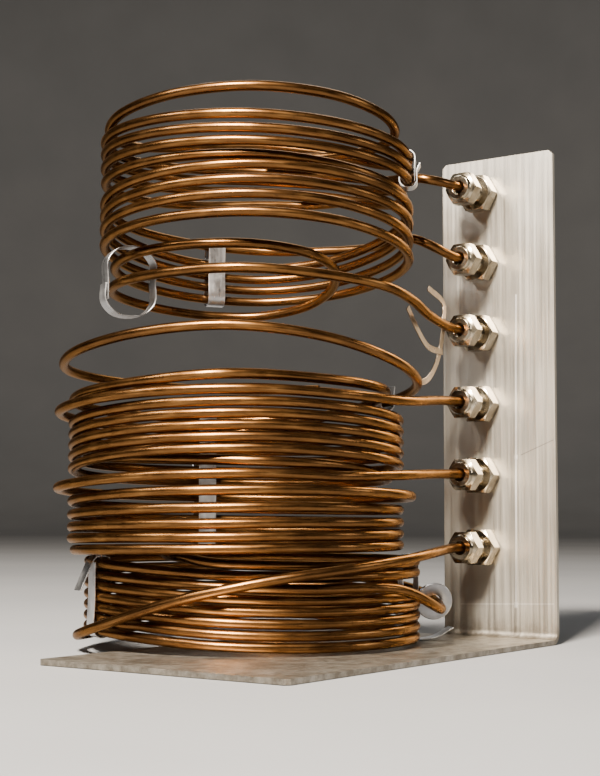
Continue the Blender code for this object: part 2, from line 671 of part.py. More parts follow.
def make_tag(line, collection, material):
    """Round washer-like tag threaded on the bottom coil's swung-out turn."""
    wanted = lower_turn(TAG_ANGLE - 360 * SWING_TURN)
    pairs = list(zip(line, line[1:]))
    start, end = min(pairs, key=lambda pair: ((pair[0] + pair[1]) / 2 - wanted).length)
    steps = 2 * ROUND_STEPS

    def fill(work):
        half = TAG_THICKNESS / 2
        bridge(work, [ring_of(work, TAG_HOLE, -half, steps), ring_of(work, TAG_RADIUS, -half, steps),
                      ring_of(work, TAG_RADIUS, half, steps), ring_of(work, TAG_HOLE, half, steps)])
    mesh = mesh_from(fill, "round_tag")
    smooth_faces(mesh, 40)
    tag = add_object("round_tag", mesh, collection, material, place=(start + end) / 2)
    tag.rotation_mode = "QUATERNION"
    tag.rotation_quaternion = (end - start).to_track_quat("X", "Z")
    return tag


def make_strap(name, depth, outline, collection, material):
    """Loose narrow strap that lies roughly in an upright plane, from the points of its outline."""
    guides = [Vector((NUT_FACE_X - ahead, depth + back, fitting_height(3) + rise))
              for ahead, rise, back in outline]
    points = smooth_curve(guides, 4)
    sides = []
    for i in range(len(points)):
        ahead = points[min(i + 1, len(points) - 1)] - points[max(i - 1, 0)]
        across = Vector((ahead.z, 0, -ahead.x)).normalized()
        sides.append(across * (STRAP_WIDTH / 2))
    return make_strip(name, points, sides, collection, material)


def make_straps(collection, material):
    for name, depth, outline in STRAPS:
        make_strap(name, depth, outline, collection, material)


def main():
    for item in list(bpy.data.objects):
        bpy.data.objects.remove(item, do_unlink=True)
    parts = new_collection(NAME)
    cutters = new_collection(NAME + "_cutters")
    bronze = principled("column_tube", (0.50, 0.24, 0.09), 0.28, 1.0)
    aluminium = principled("bracket_sheet", (0.66, 0.64, 0.60), 0.42, 1.0)
    steel = principled("fitting_steel", (0.60, 0.56, 0.50), 0.25, 1.0)
    strip = principled("tie_strip", (0.70, 0.69, 0.66), 0.35, 1.0)
    make_bracket(parts, cutters, aluminium)
    routes = {"top_column_upper_coil": upper_bundle_route(), "top_column_lower_coil": lower_bundle_route(),
              "middle_column_coil": middle_route(), "long_column_coil": long_column_route()}
    lines = {name: thin_out(smooth_curve(route)) for name, route in routes.items()}
    for name, line in lines.items():
        make_tube(name, line, parts, bronze)
    make_fittings(parts, steel)
    make_ties(lines.values(), parts, strip)
    make_tag(lines["long_column_coil"], parts, strip)
    make_straps(parts, strip)


main()
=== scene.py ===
"""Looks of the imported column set: fine tubes, fittings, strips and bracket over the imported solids.

Lengths are metres. Places are measured from the bracket's near corner, and less ORIGIN they are in the row's
frame. The routes of the tubes repeat those of the solids, with finer steps.
"""

import math

import bmesh
import bpy
from mathutils import Matrix, Vector


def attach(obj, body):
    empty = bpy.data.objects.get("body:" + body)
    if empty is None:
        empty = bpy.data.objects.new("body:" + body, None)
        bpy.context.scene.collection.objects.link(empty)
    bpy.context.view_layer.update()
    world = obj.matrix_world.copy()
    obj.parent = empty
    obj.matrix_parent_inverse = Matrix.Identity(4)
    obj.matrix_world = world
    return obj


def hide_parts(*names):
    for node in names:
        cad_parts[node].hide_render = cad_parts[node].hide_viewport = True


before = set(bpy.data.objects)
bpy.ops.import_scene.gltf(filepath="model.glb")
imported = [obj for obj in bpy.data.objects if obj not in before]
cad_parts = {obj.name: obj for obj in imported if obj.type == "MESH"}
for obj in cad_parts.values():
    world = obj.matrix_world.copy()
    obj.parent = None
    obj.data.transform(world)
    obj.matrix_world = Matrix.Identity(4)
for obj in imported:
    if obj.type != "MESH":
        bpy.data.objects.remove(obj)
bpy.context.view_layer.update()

# Camera, as it stood for the photograph
IMAGE_HEIGHT = 776
SENSOR_WIDTH = 36
CAMERA_CLIP = (0.01, 20)
CAMERA_FOCUS_PX = 1511.6
CAMERA_YAW = math.radians(35.45)
CAMERA_PITCH = math.radians(4.83)
CAMERA_ROLL = math.radians(0.19)
CAMERA_PLACE = (-0.3269, -0.2364, 0.0446)

# Fineness of the pieces made here
TUBE_STEP = 0.0026
TUBE_SIDES = 16
TUBE_FILM = 0.00006
MAP_LENGTH = 0.01
RING_STEPS = 48
BEND_FACETS = 12
EDGE_SEGMENTS = 2
FITTING_EDGE = 0.00012
SHEET_EDGE = 0.00022
STRIP_EDGE = 0.00010
STRIP_ACROSS = (-1, -0.9, -0.3, 0.3, 0.9, 1)

# Turned details of the fittings. A break is how far out and how far along an edge is cut; a collar's insets are
# how far inside the face's circle each ring lies, and its place as a share of the collar's length.
CHAMFER_SLOPE = 0.58
THREAD_PITCH = 0.0009
THREAD_DEPTH = 0.0004
THREAD_CREST = (0.35, 0.55)
THREAD_RUN_IN = 0.0006
STUB_TIP_INSET = 0.0006
STUB_TIP_LENGTH = 0.0004
NECK_INSET = 0.0005
NECK_LENGTH = 0.0008
BODY_FACE_INSET = 0.0002
NUT_FACE_INSET = 0.0003
FRONT_COLLAR = 0.0012
REAR_COLLAR = 0.0008
COLLAR_INSETS = ((0.0011, 0), (0.0008, 0.4), (0.0006, 1))
COLLAR_TO_FLATS = 0.0004
TUBE_HOLE_GAP = 0.0005
TUBE_HOLE_BREAK = (0.0004, 0.0003)
NUT_THREAD_BREAK = (0.0002, 0.0003)

# Stage
FLOOR_LEVEL = -0.0002
FLOOR_RADIUS = 3.0
COVE_RADIUS = 1.2
WALL_TOP = 4.0
STAGE_SIDES = 72

# Tube
TUBE_OD = 0.003175
TURN_GAP = 0.0003
SEAT_GAP = 0.0003
PITCH = TUBE_OD + TURN_GAP
FACET_TURN = math.radians(20)
LONGEST_FACET = 0.030
STRAIGHT = 0.001

# Bracket
BASE_LENGTH = 0.1626
BASE_WIDTH = 0.0926
SHEET = 0.0016
RISER_WIDTH = 0.0453
RISER_HEIGHT = 0.1762
BEND_RADIUS = 0.0024
CORNER_CUT = 0.0015

# Fittings
FITTING_COUNT = 6
FITTING_PITCH = 0.0259
TOP_FITTING_DROP = 0.0132
FITTING_BACK = 0.0161
BODY_HEX = 0.0127
BODY_HEX_LENGTH = 0.0056
THREAD_RADIUS = 0.0039
NUT_HEX = 0.0111
NUT_LENGTH = 0.0066
NUT_SPACING = 0.0049
JAM_NUT_LENGTH = 0.0055
REAR_THREAD_LENGTH = 0.0165
REAR_NUT_LENGTH = 0.0085
REAR_NUT_WALL = 0.00175
FERRULE_LENGTH = 0.0012
NUT_WALL_END = 0.0014

# Coils: radii of the tubes' centre lines, how far the axes lie from the nuts' faces, swings and levels. Angles
# are degrees and levels are pitches.
LOWER_RADIUS = 0.0558
MIDDLE_RADIUS = 0.0548
UPPER_RADIUS = 0.0523
LOWER_FROM_NUTS = 0.0567
MIDDLE_FROM_NUTS = 0.0667
UPPER_FROM_NUTS = 0.0594
LEAD_SWING = 0.00655
LEAD_STRAIGHT = 0.004
MIDDLE_BELOW_FITTING = 0.0255
UPPER_LEVEL = 25.1
FRONT = 215
STEP = 30
WIND_START = 255
BULGE_WIDTH = 38
LOOP_BACK = 0.003167
LOWER_DENT = 0.0008
DENT_ANGLE = 152
DENT_WIDTH = 40
LOWER_TIGHT = 1.03
CLIMB_START = 0.74
LOWER_START = 141
WOUND_FROM = 64
WOUND_TO = 36
SWING_ANGLE = 295
SWING_OUT = 0.0088
SWING_WIDTH = 46
SWING_SAG = 0.53
SAG_WIDTH = 22
HAIRPIN_BELOW = 0.0045
TIGHT = 1.05
JOIN_LEVEL = 5.5
JOIN_CLOSE = 0.45
JOIN_REACH = 1.3
CROSSING = TUBE_OD + 0.0014

# Ties
STRIP_WIDTH = 0.0064
STRIP_THICKNESS = 0.0004
TAG_RADIUS = 0.0064
TAG_HOLE = 0.0022
TAG_THICKNESS = 0.0010
STRAP_WIDTH = 0.0022
STRIP_BEND = 0.0014
TAG_ANGLE = 303
TIE_REACH = 0.7
LINE_SAMPLES = 12


def fitting_height(number):
    """Height of a fitting's axis; number 1 is the top one."""
    return RISER_HEIGHT - TOP_FITTING_DROP - (number - 1) * FITTING_PITCH


# Places that follow from the sizes above
FITTING_Y = RISER_WIDTH - FITTING_BACK
LEAD_Y = FITTING_Y - LEAD_SWING
NUT_FACE_X = BASE_LENGTH - SHEET - BODY_HEX_LENGTH - NUT_SPACING - NUT_LENGTH
LOWER_CENTRE = (NUT_FACE_X - LOWER_FROM_NUTS, LEAD_Y + LOWER_RADIUS)
MIDDLE_CENTRE = (NUT_FACE_X - MIDDLE_FROM_NUTS, LEAD_Y + MIDDLE_RADIUS)
UPPER_CENTRE = (NUT_FACE_X - UPPER_FROM_NUTS, LEAD_Y + UPPER_RADIUS)
LOWER_BASE = SHEET + SEAT_GAP + STRIP_THICKNESS + SEAT_GAP + TUBE_OD / 2
MIDDLE_BASE = fitting_height(5) - MIDDLE_BELOW_FITTING
UPPER_BASE = MIDDLE_BASE + PITCH * UPPER_LEVEL
LOWER_TURNS = math.floor((MIDDLE_BASE - LOWER_BASE) / (PITCH * LOWER_TIGHT))
SWING_TURN = LOWER_TURNS - 2
REAR_END_X = BASE_LENGTH + REAR_THREAD_LENGTH + REAR_NUT_WALL + SEAT_GAP
COILS_BACK_Y = MIDDLE_CENTRE[1] + MIDDLE_RADIUS + LOOP_BACK + TUBE_OD / 2
ORIGIN = Vector((REAR_END_X / 2, COILS_BACK_Y / 2, 0))


# Curves through space

def polar(centre, angle, radius, height):
    """Point at an angle in degrees round a coil's upright axis."""
    turn = math.radians(angle)
    return Vector((centre[0] + radius * math.cos(turn), centre[1] + radius * math.sin(turn), height))


def smooth_curve(points, fine=12):
    """Centripetal Catmull-Rom curve through the points, as many short steps."""
    first = points[0] * 2 - points[1]
    last = points[-1] * 2 - points[-2]
    guides = [first] + list(points) + [last]
    curve = []
    for a, b, c, d in zip(guides, guides[1:], guides[2:], guides[3:]):
        t1 = (b - a).length ** 0.5
        t2 = t1 + (c - b).length ** 0.5
        t3 = t2 + (d - c).length ** 0.5
        for step in range(fine):
            t = t1 + (t2 - t1) * step / fine
            ab = a.lerp(b, t / t1)
            bc = b.lerp(c, (t - t1) / (t2 - t1))
            cd = c.lerp(d, (t - t2) / (t3 - t2))
            abc = ab.lerp(bc, t / t2)
            bcd = bc.lerp(cd, (t - t1) / (t3 - t1))
            curve.append(abc.lerp(bcd, (t - t1) / (t2 - t1)))
    curve.append(Vector(points[-1]))
    return curve


def thin_out(curve):
    """Keep a point each time the curve has turned by one facet's angle, and where a straight ends."""
    steps = [after - before for before, after in zip(curve, curve[1:])]
    bends = [one.angle(two) for one, two in zip(steps, steps[1:])]
    kept = [curve[0]]
    turned = 0.0
    run = 0.0
    for i, here in enumerate(curve[1:-1]):
        turned += bends[i]
        run += steps[i].length
        beside_straight = min(bends[max(i - 1, 0)], bends[min(i + 1, len(bends) - 1)]) < STRAIGHT
        if turned >= FACET_TURN or run >= LONGEST_FACET or (bends[i] > STRAIGHT and beside_straight):
            kept.append(here)
            turned = 0.0
            run = 0.0
    if (curve[-1] - kept[-1]).length < TUBE_OD and len(kept) > 2:
        kept.pop()
    kept.append(curve[-1])
    return kept


def bump(angle, middle, width):
    """Smooth hump of height 1 round one angle."""
    return math.exp(-((angle - middle) / width) ** 2)


# Loose straps: how far back each lies, and its points as ahead of the nuts, above fitting 3 and further back
STRAPS = (
    ("loose_strap_hooked", LEAD_Y + 0.0095,
     ((0.0249, -0.0207, 0), (0.0184, -0.0197, 0), (0.0114, -0.0157, 0.001), (0.0063, -0.0077, 0.001),
      (0.0057, 0.0023, 0), (0.0039, 0.0093, 0.001), (0.0129, 0.0138, 0.002))),
    ("loose_strap_short", LEAD_Y + 0.0072,
     ((0.0059, -0.0084, 0.0026), (0.0179, -0.0077, 0.0014), (0.0274, -0.0027, 0), (0.0339, 0.0043, 0))))


# Routes of the tubes

def quarter_turns(centre, radius, base, start, keys, step=STEP):
    """Stations of a loose coil; keys are (height in pitches above base, radius added), three steps apart."""
    guides = [Vector((base + PITCH * height, radius + extra, 0)) for height, extra in keys]
    values = smooth_curve(guides, 3)
    return [polar(centre, start + step * i, value.y, value.x) for i, value in enumerate(values)]


def stacked_height(base, level, angle, front_levels):
    """Height of a turn that lies tight at the back and sides and spread at the front."""
    above = JOIN_LEVEL - level
    tight = level * TIGHT + JOIN_CLOSE * above * math.exp(-(above / JOIN_REACH) ** 2)
    low = max(0, min(len(front_levels) - 2, math.floor(level)))
    part = level - low
    spread = front_levels[low] + (front_levels[low + 1] - front_levels[low]) * part
    weight = ((1 + math.cos(math.radians(angle - FRONT))) / 2) ** 2
    return base + PITCH * (tight + (spread - tight) * weight)


MIDDLE_FRONT_LEVELS = (0.2, 1.24, 2.39, 3.80, 5.32, 6.76, 7.83, 8.95, 9.97, 10.98, 12.04, 13.06, 14.14, 15.35)


def middle_turn(angle, level, bulges):
    """Point on the middle coil; each bulge is (angle, how far out)."""
    radius = MIDDLE_RADIUS
    for bulge_angle, extra in bulges:
        radius += extra * bump(angle, bulge_angle, BULGE_WIDTH)
    height = stacked_height(MIDDLE_BASE, level, angle, MIDDLE_FRONT_LEVELS)
    return polar(MIDDLE_CENTRE, angle, radius, height)


def wound_down(last_angle):
    """Angles of the middle coil's stations, from near its front down to the last one."""
    return [WIND_START - STEP * i for i in range(round((WIND_START - last_angle) / STEP) + 1)]


def fitting_lead(number):
    """Points of the straight tube inside a fitting's nut, from its end outwards."""
    height = fitting_height(number)
    inner = NUT_FACE_X + NUT_LENGTH
    return [Vector((inner, FITTING_Y, height)), Vector((NUT_FACE_X, FITTING_Y, height)),
            Vector((NUT_FACE_X - LEAD_STRAIGHT, FITTING_Y, height))]


def side_lead(number, rises, joining):
    """From a fitting to the top coils, bent back to pass outside their right side."""
    side = UPPER_CENTRE[0] + UPPER_RADIUS
    plan = ((side - 0.0028, LEAD_Y + 0.0078), (side - 0.0072, LEAD_Y + 0.0102),
            (side - 0.0082, LEAD_Y + 0.0140))
    bend = [Vector((x, y, fitting_height(number) + rise)) for (x, y), rise in zip(plan, rises)]
    beside = [polar(UPPER_CENTRE, angle, UPPER_RADIUS + CROSSING, height) for angle, height in joining]
    return fitting_lead(number) + bend + beside


def front_lead(number, drops):
    """From a fitting slanting forwards to the front of the middle coil."""
    height = fitting_height(number)
    return fitting_lead(number) + [Vector((MIDDLE_CENTRE[0] + 0.048, LEAD_Y + 0.0043, height - drops[0])),
                                   Vector((MIDDLE_CENTRE[0] + 0.020, LEAD_Y, height - drops[1]))]


def upper_bundle_route():
    """From fitting 1 up through the top bundle; the far end lies inside the loose top loop."""
    start = UPPER_BASE + PITCH * 11.9
    joining = ((-37, start + 0.0022), (-12, start + 0.0006), (12, start))
    lead = side_lead(1, (0.0002, 0.0005, 0.0014), joining)
    keys = ((11.9, 0), (10.6, 0), (10.55, -0.0032), (9.25, -0.0016),
            (13.4, 0), (12.0, 0), (11.6, 0), (10.85, 0),
            (14.5, 0), (13.4, 0), (12.75, 0), (12.0, 0),
            (15.6, 0), (14.55, 0), (14.0, 0.0006), (13.2, 0),
            (18.4, 0), (15.8, -0.0012), (16.7, -0.0014), (15.9, -0.0048),
            (16.8, -0.0064))
    return lead + quarter_turns(UPPER_CENTRE, UPPER_RADIUS, UPPER_BASE, 35, keys)


def lower_bundle_route():
    """From fitting 2 down through the second bundle and a small loose loop to fitting 3."""
    start = UPPER_BASE + PITCH * 6.75
    joining = ((-37, start - 0.0014), (-5, start - 0.0006))
    lead = side_lead(2, (0.0014, 0.0031, 0.0050), joining)
    keys = ((6.75, 0), (8.2, 0), (9.45, 0), (7.95, 0),
            (4.8, 0), (7.0, 0), (8.1, 0), (6.6, 0),
            (3.6, 0), (5.7, 0), (6.75, 0), (4.9, 0),
            (2.4, 0), (4.2, 0), (5.1, 0), (3.2, 0),
            (1.15, 0), (2.3, -0.0033), (2.95, -0.0150), (1.45, -0.0250),
            (-1.0, -0.0160), (-0.2, -0.0032), (0.0, 0.0004))
    turns = quarter_turns(UPPER_CENTRE, UPPER_RADIUS, UPPER_BASE, 35, keys)
    end = fitting_height(3)
    last = [Vector((UPPER_CENTRE[0] - 0.0060, LEAD_Y, end + 0.0078)),
            Vector((UPPER_CENTRE[0] + 0.0180, LEAD_Y + 0.0007, end + 0.0052)),
            Vector((UPPER_CENTRE[0] + 0.0305, LEAD_Y + 0.0025, end + 0.0022)),
            Vector((UPPER_CENTRE[0] + 0.0451, LEAD_Y + 0.0048, end + 0.0004))]
    return lead + turns + last + fitting_lead(3)[::-1]


def middle_route():
    """From fitting 4 down through the middle coil, up inside it and round its loose top loop."""
    lead = front_lead(4, (0.0008, 0.0030))
    top_level = len(MIDDLE_FRONT_LEVELS) - 2
    last_level = 6
    end_angle = FRONT - 360 * (top_level - last_level)
    dent_angle = end_angle + 72
    bulges = ((142, 0.0048), (dent_angle, -0.0050))
    turns = [middle_turn(a, top_level + (a - FRONT) / 360, bulges) for a in wound_down(end_angle)]
    inside = MIDDLE_RADIUS - CROSSING
    rise = ((-40, 8.2), (-90, 8.9), (-135, 10.2), (-180, 12.0), (-225, 13.7), (-270, 14.9), (-305, 15.25))
    climb = [polar(MIDDLE_CENTRE, end_angle + a, inside, MIDDLE_BASE + PITCH * level) for a, level in rise]
    keys = ((15.45, 0), (13.95, 0), (13.3, 0), (15.8, 0.0062),
            (19.7, 0.0008), (17.4, 0.0036), (16.6, 0.0020), (16.5, -0.0010))
    loops = quarter_turns(MIDDLE_CENTRE, MIDDLE_RADIUS, MIDDLE_BASE, end_angle - 360, keys, -STEP)
    return lead + turns + climb + loops[:-2]


def lower_turn(angle):
    """Point on the bottom coil: level rows that step up near the left side, one of them swung out."""
    turns = max(0.0, (LOWER_START - angle) / 360)
    part = max(0.0, (turns % 1 - CLIMB_START) / (1 - CLIMB_START))
    level = math.floor(turns) + part * part * (3 - 2 * part)
    swing_angle = SWING_ANGLE - 360 * SWING_TURN
    radius = LOWER_RADIUS - LOWER_DENT * bump(angle % 360, DENT_ANGLE, DENT_WIDTH)
    radius += SWING_OUT * bump(angle, swing_angle, SWING_WIDTH)
    sag = SWING_SAG * bump(angle, TAG_ANGLE - 360 * SWING_TURN, SAG_WIDTH)
    height = LOWER_BASE + PITCH * LOWER_TIGHT * level * (1 - sag)
    return polar(LOWER_CENTRE, angle, radius, height)


def long_column_route():
    """From fitting 5 down the middle coil, through a hairpin inside, and round the bottom coil to 6."""
    lead = front_lead(5, (0.0003, 0.0014))
    first_level = 5
    last_angle = FRONT - 360 * first_level - 60
    bulges = ((138, 0.0048), (-58, 0.0045))
    turns = [middle_turn(a, first_level + (a - FRONT) / 360, bulges) for a in wound_down(last_angle)]
    low = MIDDLE_BASE - HAIRPIN_BELOW
    hairpin = ((0.0500, 0.1242, 0.0034), (0.0600, 0.1222, 0.0032), (0.0665, 0.1130, 0.0030),
               (0.0660, 0.1020, 0.0029), (0.0600, 0.0940, 0.0028), (0.0500, 0.0850, 0.0026),
               (0.0420, 0.0755, 0.0024), (0.0370, 0.0665, 0.0022))
    bend = [Vector((x, y, low + z)) for x, y, z in hairpin]
    final = LOWER_START - 360 * LOWER_TURNS
    steps = round((360 * LOWER_TURNS - WOUND_FROM - WOUND_TO) / STEP)
    wound = [lower_turn(final + WOUND_FROM + STEP * i) for i in range(steps + 1)]
    outside = LOWER_RADIUS + CROSSING + 0.0002
    climb = fitting_height(6) - LOWER_BASE
    stations = ((120, -CROSSING - 0.0006, 0), (143, -0.0012, 0.041), (165, -0.0002, 0.191), (198, 0, 0.519),
                (221, 0, 0.696), (244, 0, 0.806), (270, -0.0008, 0.894))
    diagonal = [polar(LOWER_CENTRE, angle, outside + extra, LOWER_BASE + climb * part)
                for angle, extra, part in stations]
    diagonal.append(Vector((LOWER_CENTRE[0] + 0.022, LEAD_Y - 0.0020, LOWER_BASE + climb * 0.956)))
    return lead + turns + bend + wound + diagonal + fitting_lead(6)[::-1]


# Ties, tag and straps

def box_round(lines, centre, angle, low, high, reach):
    """Inner and outer radius and least and greatest height of the tubes that a tie goes round."""
    turn = math.radians(angle)
    out = Vector((math.cos(turn), math.sin(turn), 0))
    along = Vector((-out.y, out.x, 0))
    middle = Vector((centre[0], centre[1], 0))
    radii = []
    heights = []
    for line in lines:
        for start, end in zip(line, line[1:]):
            for step in range(LINE_SAMPLES):
                point = start.lerp(end, step / LINE_SAMPLES) - middle
                near = abs(point.dot(along)) < STRIP_WIDTH * TIE_REACH
                if near and low < point.z < high and abs(point.dot(out) - reach[0]) < reach[1]:
                    radii.append(point.dot(out))
                    heights.append(point.z)
    edge = TUBE_OD / 2 + SEAT_GAP + STRIP_THICKNESS / 2
    return min(radii) - edge, max(radii) + edge, min(heights) - edge, max(heights) + edge


# Making pieces

def stand(name, data):
    """Object that puts the data into the scene."""
    item = bpy.data.objects.new(name, data)
    bpy.context.scene.collection.objects.link(item)
    return item


def add_piece(name, data, material, nodes):
    """Piece of the object that stands for CAD nodes and rides on the one body."""
    item = stand(name, data)
    data.materials.append(material)
    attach(item, "root")
    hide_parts(*nodes)
    return item


def mesh_from(fill, name, sharp=35):
    """Mesh filled by a function that works on a bmesh, smooth but for its sharp edges."""
    work = bmesh.new()
    fill(work)
    mesh = bpy.data.meshes.new(name)
    work.to_mesh(mesh)
    work.free()
    mesh.shade_smooth()
    mesh.set_sharp_from_angle(angle=math.radians(sharp))
    return mesh


def soften(item, width, angle=30):
    """Small rounding of the edges, so that they catch the light."""
    edge = item.modifiers.new("edge", "BEVEL")
    edge.width = width
    edge.segments = EDGE_SEGMENTS
    edge.limit_method = "ANGLE"
    edge.angle_limit = math.radians(angle)
    edge.harden_normals = True


def thicken(item, thickness, offset):
    """Gives a surface its thickness: offset -1 grows it to one side, 0 to both."""
    wall = item.modifiers.new("wall", "SOLIDIFY")
    wall.thickness = thickness
    wall.offset = offset
    wall.use_even_offset = True


# Tubes

def even_line(curve, gap):
    """Points at even distances along a curve."""
    line = [curve[0]]
    left = gap
    for start, end in zip(curve, curve[1:]):
        step = (end - start).length
        while step > left:
            start = start + (end - start) * (left / step)
            line.append(start)
            step = (end - start).length
            left = gap
        left -= step
    line.append(curve[-1])
    return line


def sweep_tube(name, route, material):
    """Round tube along a route, with a map of distance along it and angle round it."""
    line = even_line(smooth_curve(route), TUBE_STEP)
    radius = TUBE_OD / 2 + TUBE_FILM
    up = Vector((0, 0, 1))

    def fill(work):
        uv = work.loops.layers.uv.new("along")
        rings = []
        for i, point in enumerate(line):
            ahead = line[min(i + 1, len(line) - 1)] - line[max(i - 1, 0)]
            ahead.normalize()
            side = ahead.cross(up).normalized()
            over = side.cross(ahead)
            ring = []
            for k in range(TUBE_SIDES):
                turn = 2 * math.pi * k / TUBE_SIDES
                out = (side * math.cos(turn) + over * math.sin(turn)) * radius
                ring.append(work.verts.new(point - ORIGIN + out))
            rings.append(ring)
        for i, (one, two) in enumerate(zip(rings, rings[1:])):
            for k in range(TUBE_SIDES):
                n = (k + 1) % TUBE_SIDES
                face = work.faces.new((one[k], one[n], two[n], two[k]))
                places = ((i, k), (i, n), (i + 1, n), (i + 1, k))
                for loop, (along, round_it) in zip(face.loops, places):
                    loop[uv].uv = (along * TUBE_STEP / MAP_LENGTH, 1 - abs(2 * round_it / TUBE_SIDES - 1))
        work.faces.new(rings[0])
        work.faces.new(rings[-1][::-1])
        bmesh.ops.recalc_face_normals(work, faces=work.faces)
    add_piece(name + "_tube", mesh_from(fill, name, sharp=60), material, [name])


# Fittings

def ring_at(work, radius_of, x_of):
    """Ring round the X axis; radius and place along X are given for each angle."""
    ring = []
    for i in range(RING_STEPS):
        turn = 2 * math.pi * i / RING_STEPS
        radius = radius_of(turn)
        ring.append(work.verts.new((x_of(turn), radius * math.cos(turn), radius * math.sin(turn))))
    return ring


def round_ring(work, radius, x):
    """Circle round the X axis."""
    return ring_at(work, lambda turn: radius, lambda turn: x)


def hex_radius(across_flats, turn):
    """Distance from a hexagon's middle to its edge; a corner lies at angle 0."""
    part = (turn + math.pi / 6) % (math.pi / 3) - math.pi / 6
    return across_flats / 2 / math.cos(math.pi / 6 - abs(part))


def hex_edge(work, across_flats, face_radius, face_x, inward):
    """Edge where a hexagon's flats meet the cone that chamfers its face."""
    def radius_of(turn):
        return hex_radius(across_flats, turn)

    def x_of(turn):
        return face_x + inward * (radius_of(turn) - face_radius) * CHAMFER_SLOPE
    return ring_at(work, radius_of, x_of)


def skin(work, rings):
    """Closed skin through the rings and back to the first."""
    for one, two in zip(rings, rings[1:] + rings[:1]):
        for i in range(RING_STEPS):
            n = (i + 1) % RING_STEPS
            work.faces.new((one[i], one[n], two[n], two[i]))
    bmesh.ops.recalc_face_normals(work, faces=work.faces)


def thread_rings(work, start, end, crest):
    """Ridges of a thread between two places along X."""
    count = max(1, round(abs(end - start) / THREAD_PITCH))
    step = (end - start) / count
    rings = []
    for i in range(count):
        x = start + i * step
        rings.append(round_ring(work, crest - THREAD_DEPTH, x))
        rings += [round_ring(work, crest, x + step * share) for share in THREAD_CREST]
    rings.append(round_ring(work, crest - THREAD_DEPTH, end))
    return rings


def fine_nut(name, length, wall_end, collar):
    """Compression nut: a turned collar at its face, chamfered flats and a threaded hole."""
    bore = TUBE_OD / 2 + TUBE_HOLE_GAP
    thread = THREAD_RADIUS + SEAT_GAP

    def fill(work):
        face = NUT_HEX / 2 - NUT_FACE_INSET
        hole_out, hole_along = TUBE_HOLE_BREAK
        thread_out, thread_along = NUT_THREAD_BREAK
        rings = [round_ring(work, bore, hole_along), round_ring(work, bore + hole_out, 0)]
        rings += [round_ring(work, face - inset, collar * share) for inset, share in COLLAR_INSETS]
        rings += [hex_edge(work, NUT_HEX, face - COLLAR_TO_FLATS, collar, 1),
                  hex_edge(work, NUT_HEX, face, length, -1),
                  round_ring(work, face, length), round_ring(work, thread + thread_out, length),
                  round_ring(work, thread, length - thread_along),
                  round_ring(work, thread, wall_end), round_ring(work, bore, wall_end)]
        skin(work, rings)
    return mesh_from(fill, name)


def fine_body(name):
    """Bulkhead body with threads on both stubs and a chamfered hexagon."""
    bore = TUBE_OD / 2 + SEAT_GAP
    front = BODY_HEX_LENGTH + NUT_SPACING + NUT_LENGTH - NUT_WALL_END - 2 * FERRULE_LENGTH - 2 * SEAT_GAP
    rear = SHEET + REAR_THREAD_LENGTH

    def fill(work):
        face = BODY_HEX / 2 - BODY_FACE_INSET
        neck = -BODY_HEX_LENGTH - NECK_LENGTH
        tip = THREAD_RADIUS - STUB_TIP_INSET
        rings = [round_ring(work, bore, -front), round_ring(work, tip, -front)]
        rings += thread_rings(work, -front + STUB_TIP_LENGTH, neck, THREAD_RADIUS)
        rings += [round_ring(work, THREAD_RADIUS - NECK_INSET, -BODY_HEX_LENGTH),
                  round_ring(work, face, -BODY_HEX_LENGTH),
                  hex_edge(work, BODY_HEX, face, -BODY_HEX_LENGTH, 1),
                  hex_edge(work, BODY_HEX, face, -SEAT_GAP, -1),
                  round_ring(work, face, -SEAT_GAP), round_ring(work, THREAD_RADIUS, -SEAT_GAP)]
        rings += thread_rings(work, SHEET + THREAD_RUN_IN, rear - STUB_TIP_LENGTH, THREAD_RADIUS)
        rings += [round_ring(work, tip, rear), round_ring(work, bore, rear)]
        skin(work, rings)
    return mesh_from(fill, name)


def fine_jam_nut(name):
    """Thin nut behind the riser, chamfered on both faces."""
    thread = THREAD_RADIUS + SEAT_GAP

    def fill(work):
        face = BODY_HEX / 2 - BODY_FACE_INSET
        rings = [round_ring(work, thread, 0), round_ring(work, face, 0), hex_edge(work, BODY_HEX, face, 0, 1),
                 hex_edge(work, BODY_HEX, face, JAM_NUT_LENGTH, -1), round_ring(work, face, JAM_NUT_LENGTH),
                 round_ring(work, thread, JAM_NUT_LENGTH)]
        skin(work, rings)
    return mesh_from(fill, name)


def dress_fittings(steel):
    """Fine fittings in place of the plain ones; a rear nut faces the other way. Ferrules stay as they are."""
    body = fine_body("body")
    front_nut = fine_nut("front_nut", NUT_LENGTH, NUT_WALL_END, FRONT_COLLAR)
    rear_nut = fine_nut("rear_nut", REAR_NUT_LENGTH, REAR_NUT_WALL, REAR_COLLAR)
    jam_nut = fine_jam_nut("jam_nut")
    rows = (("fitting_body", body, BASE_LENGTH - SHEET, 0), ("front_nut", front_nut, NUT_FACE_X, 0),
            ("jam_nut", jam_nut, BASE_LENGTH + SEAT_GAP, 0), ("rear_nut", rear_nut, REAR_END_X, math.pi))
    for number in range(1, FITTING_COUNT + 1):
        height = fitting_height(number)
        for name, mesh, x, turn in rows:
            place = Matrix.Translation(Vector((x, FITTING_Y, height)) - ORIGIN) @ Matrix.Rotation(turn, 4, "Z")
            copy = mesh.copy()
            copy.transform(place)
            item = add_piece(f"{name}_{number}_fine", copy, steel, [f"{name}_{number}"])
            soften(item, FITTING_EDGE)
        for name in ("back_ferrule", "front_ferrule"):
            paint_node(f"{name}_{number}", steel)


def paint_node(name, material):
    """A CAD node that stays gets the scene's material."""
    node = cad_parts[name]
    for place in node.material_slots:
        place.material = material


# Bracket

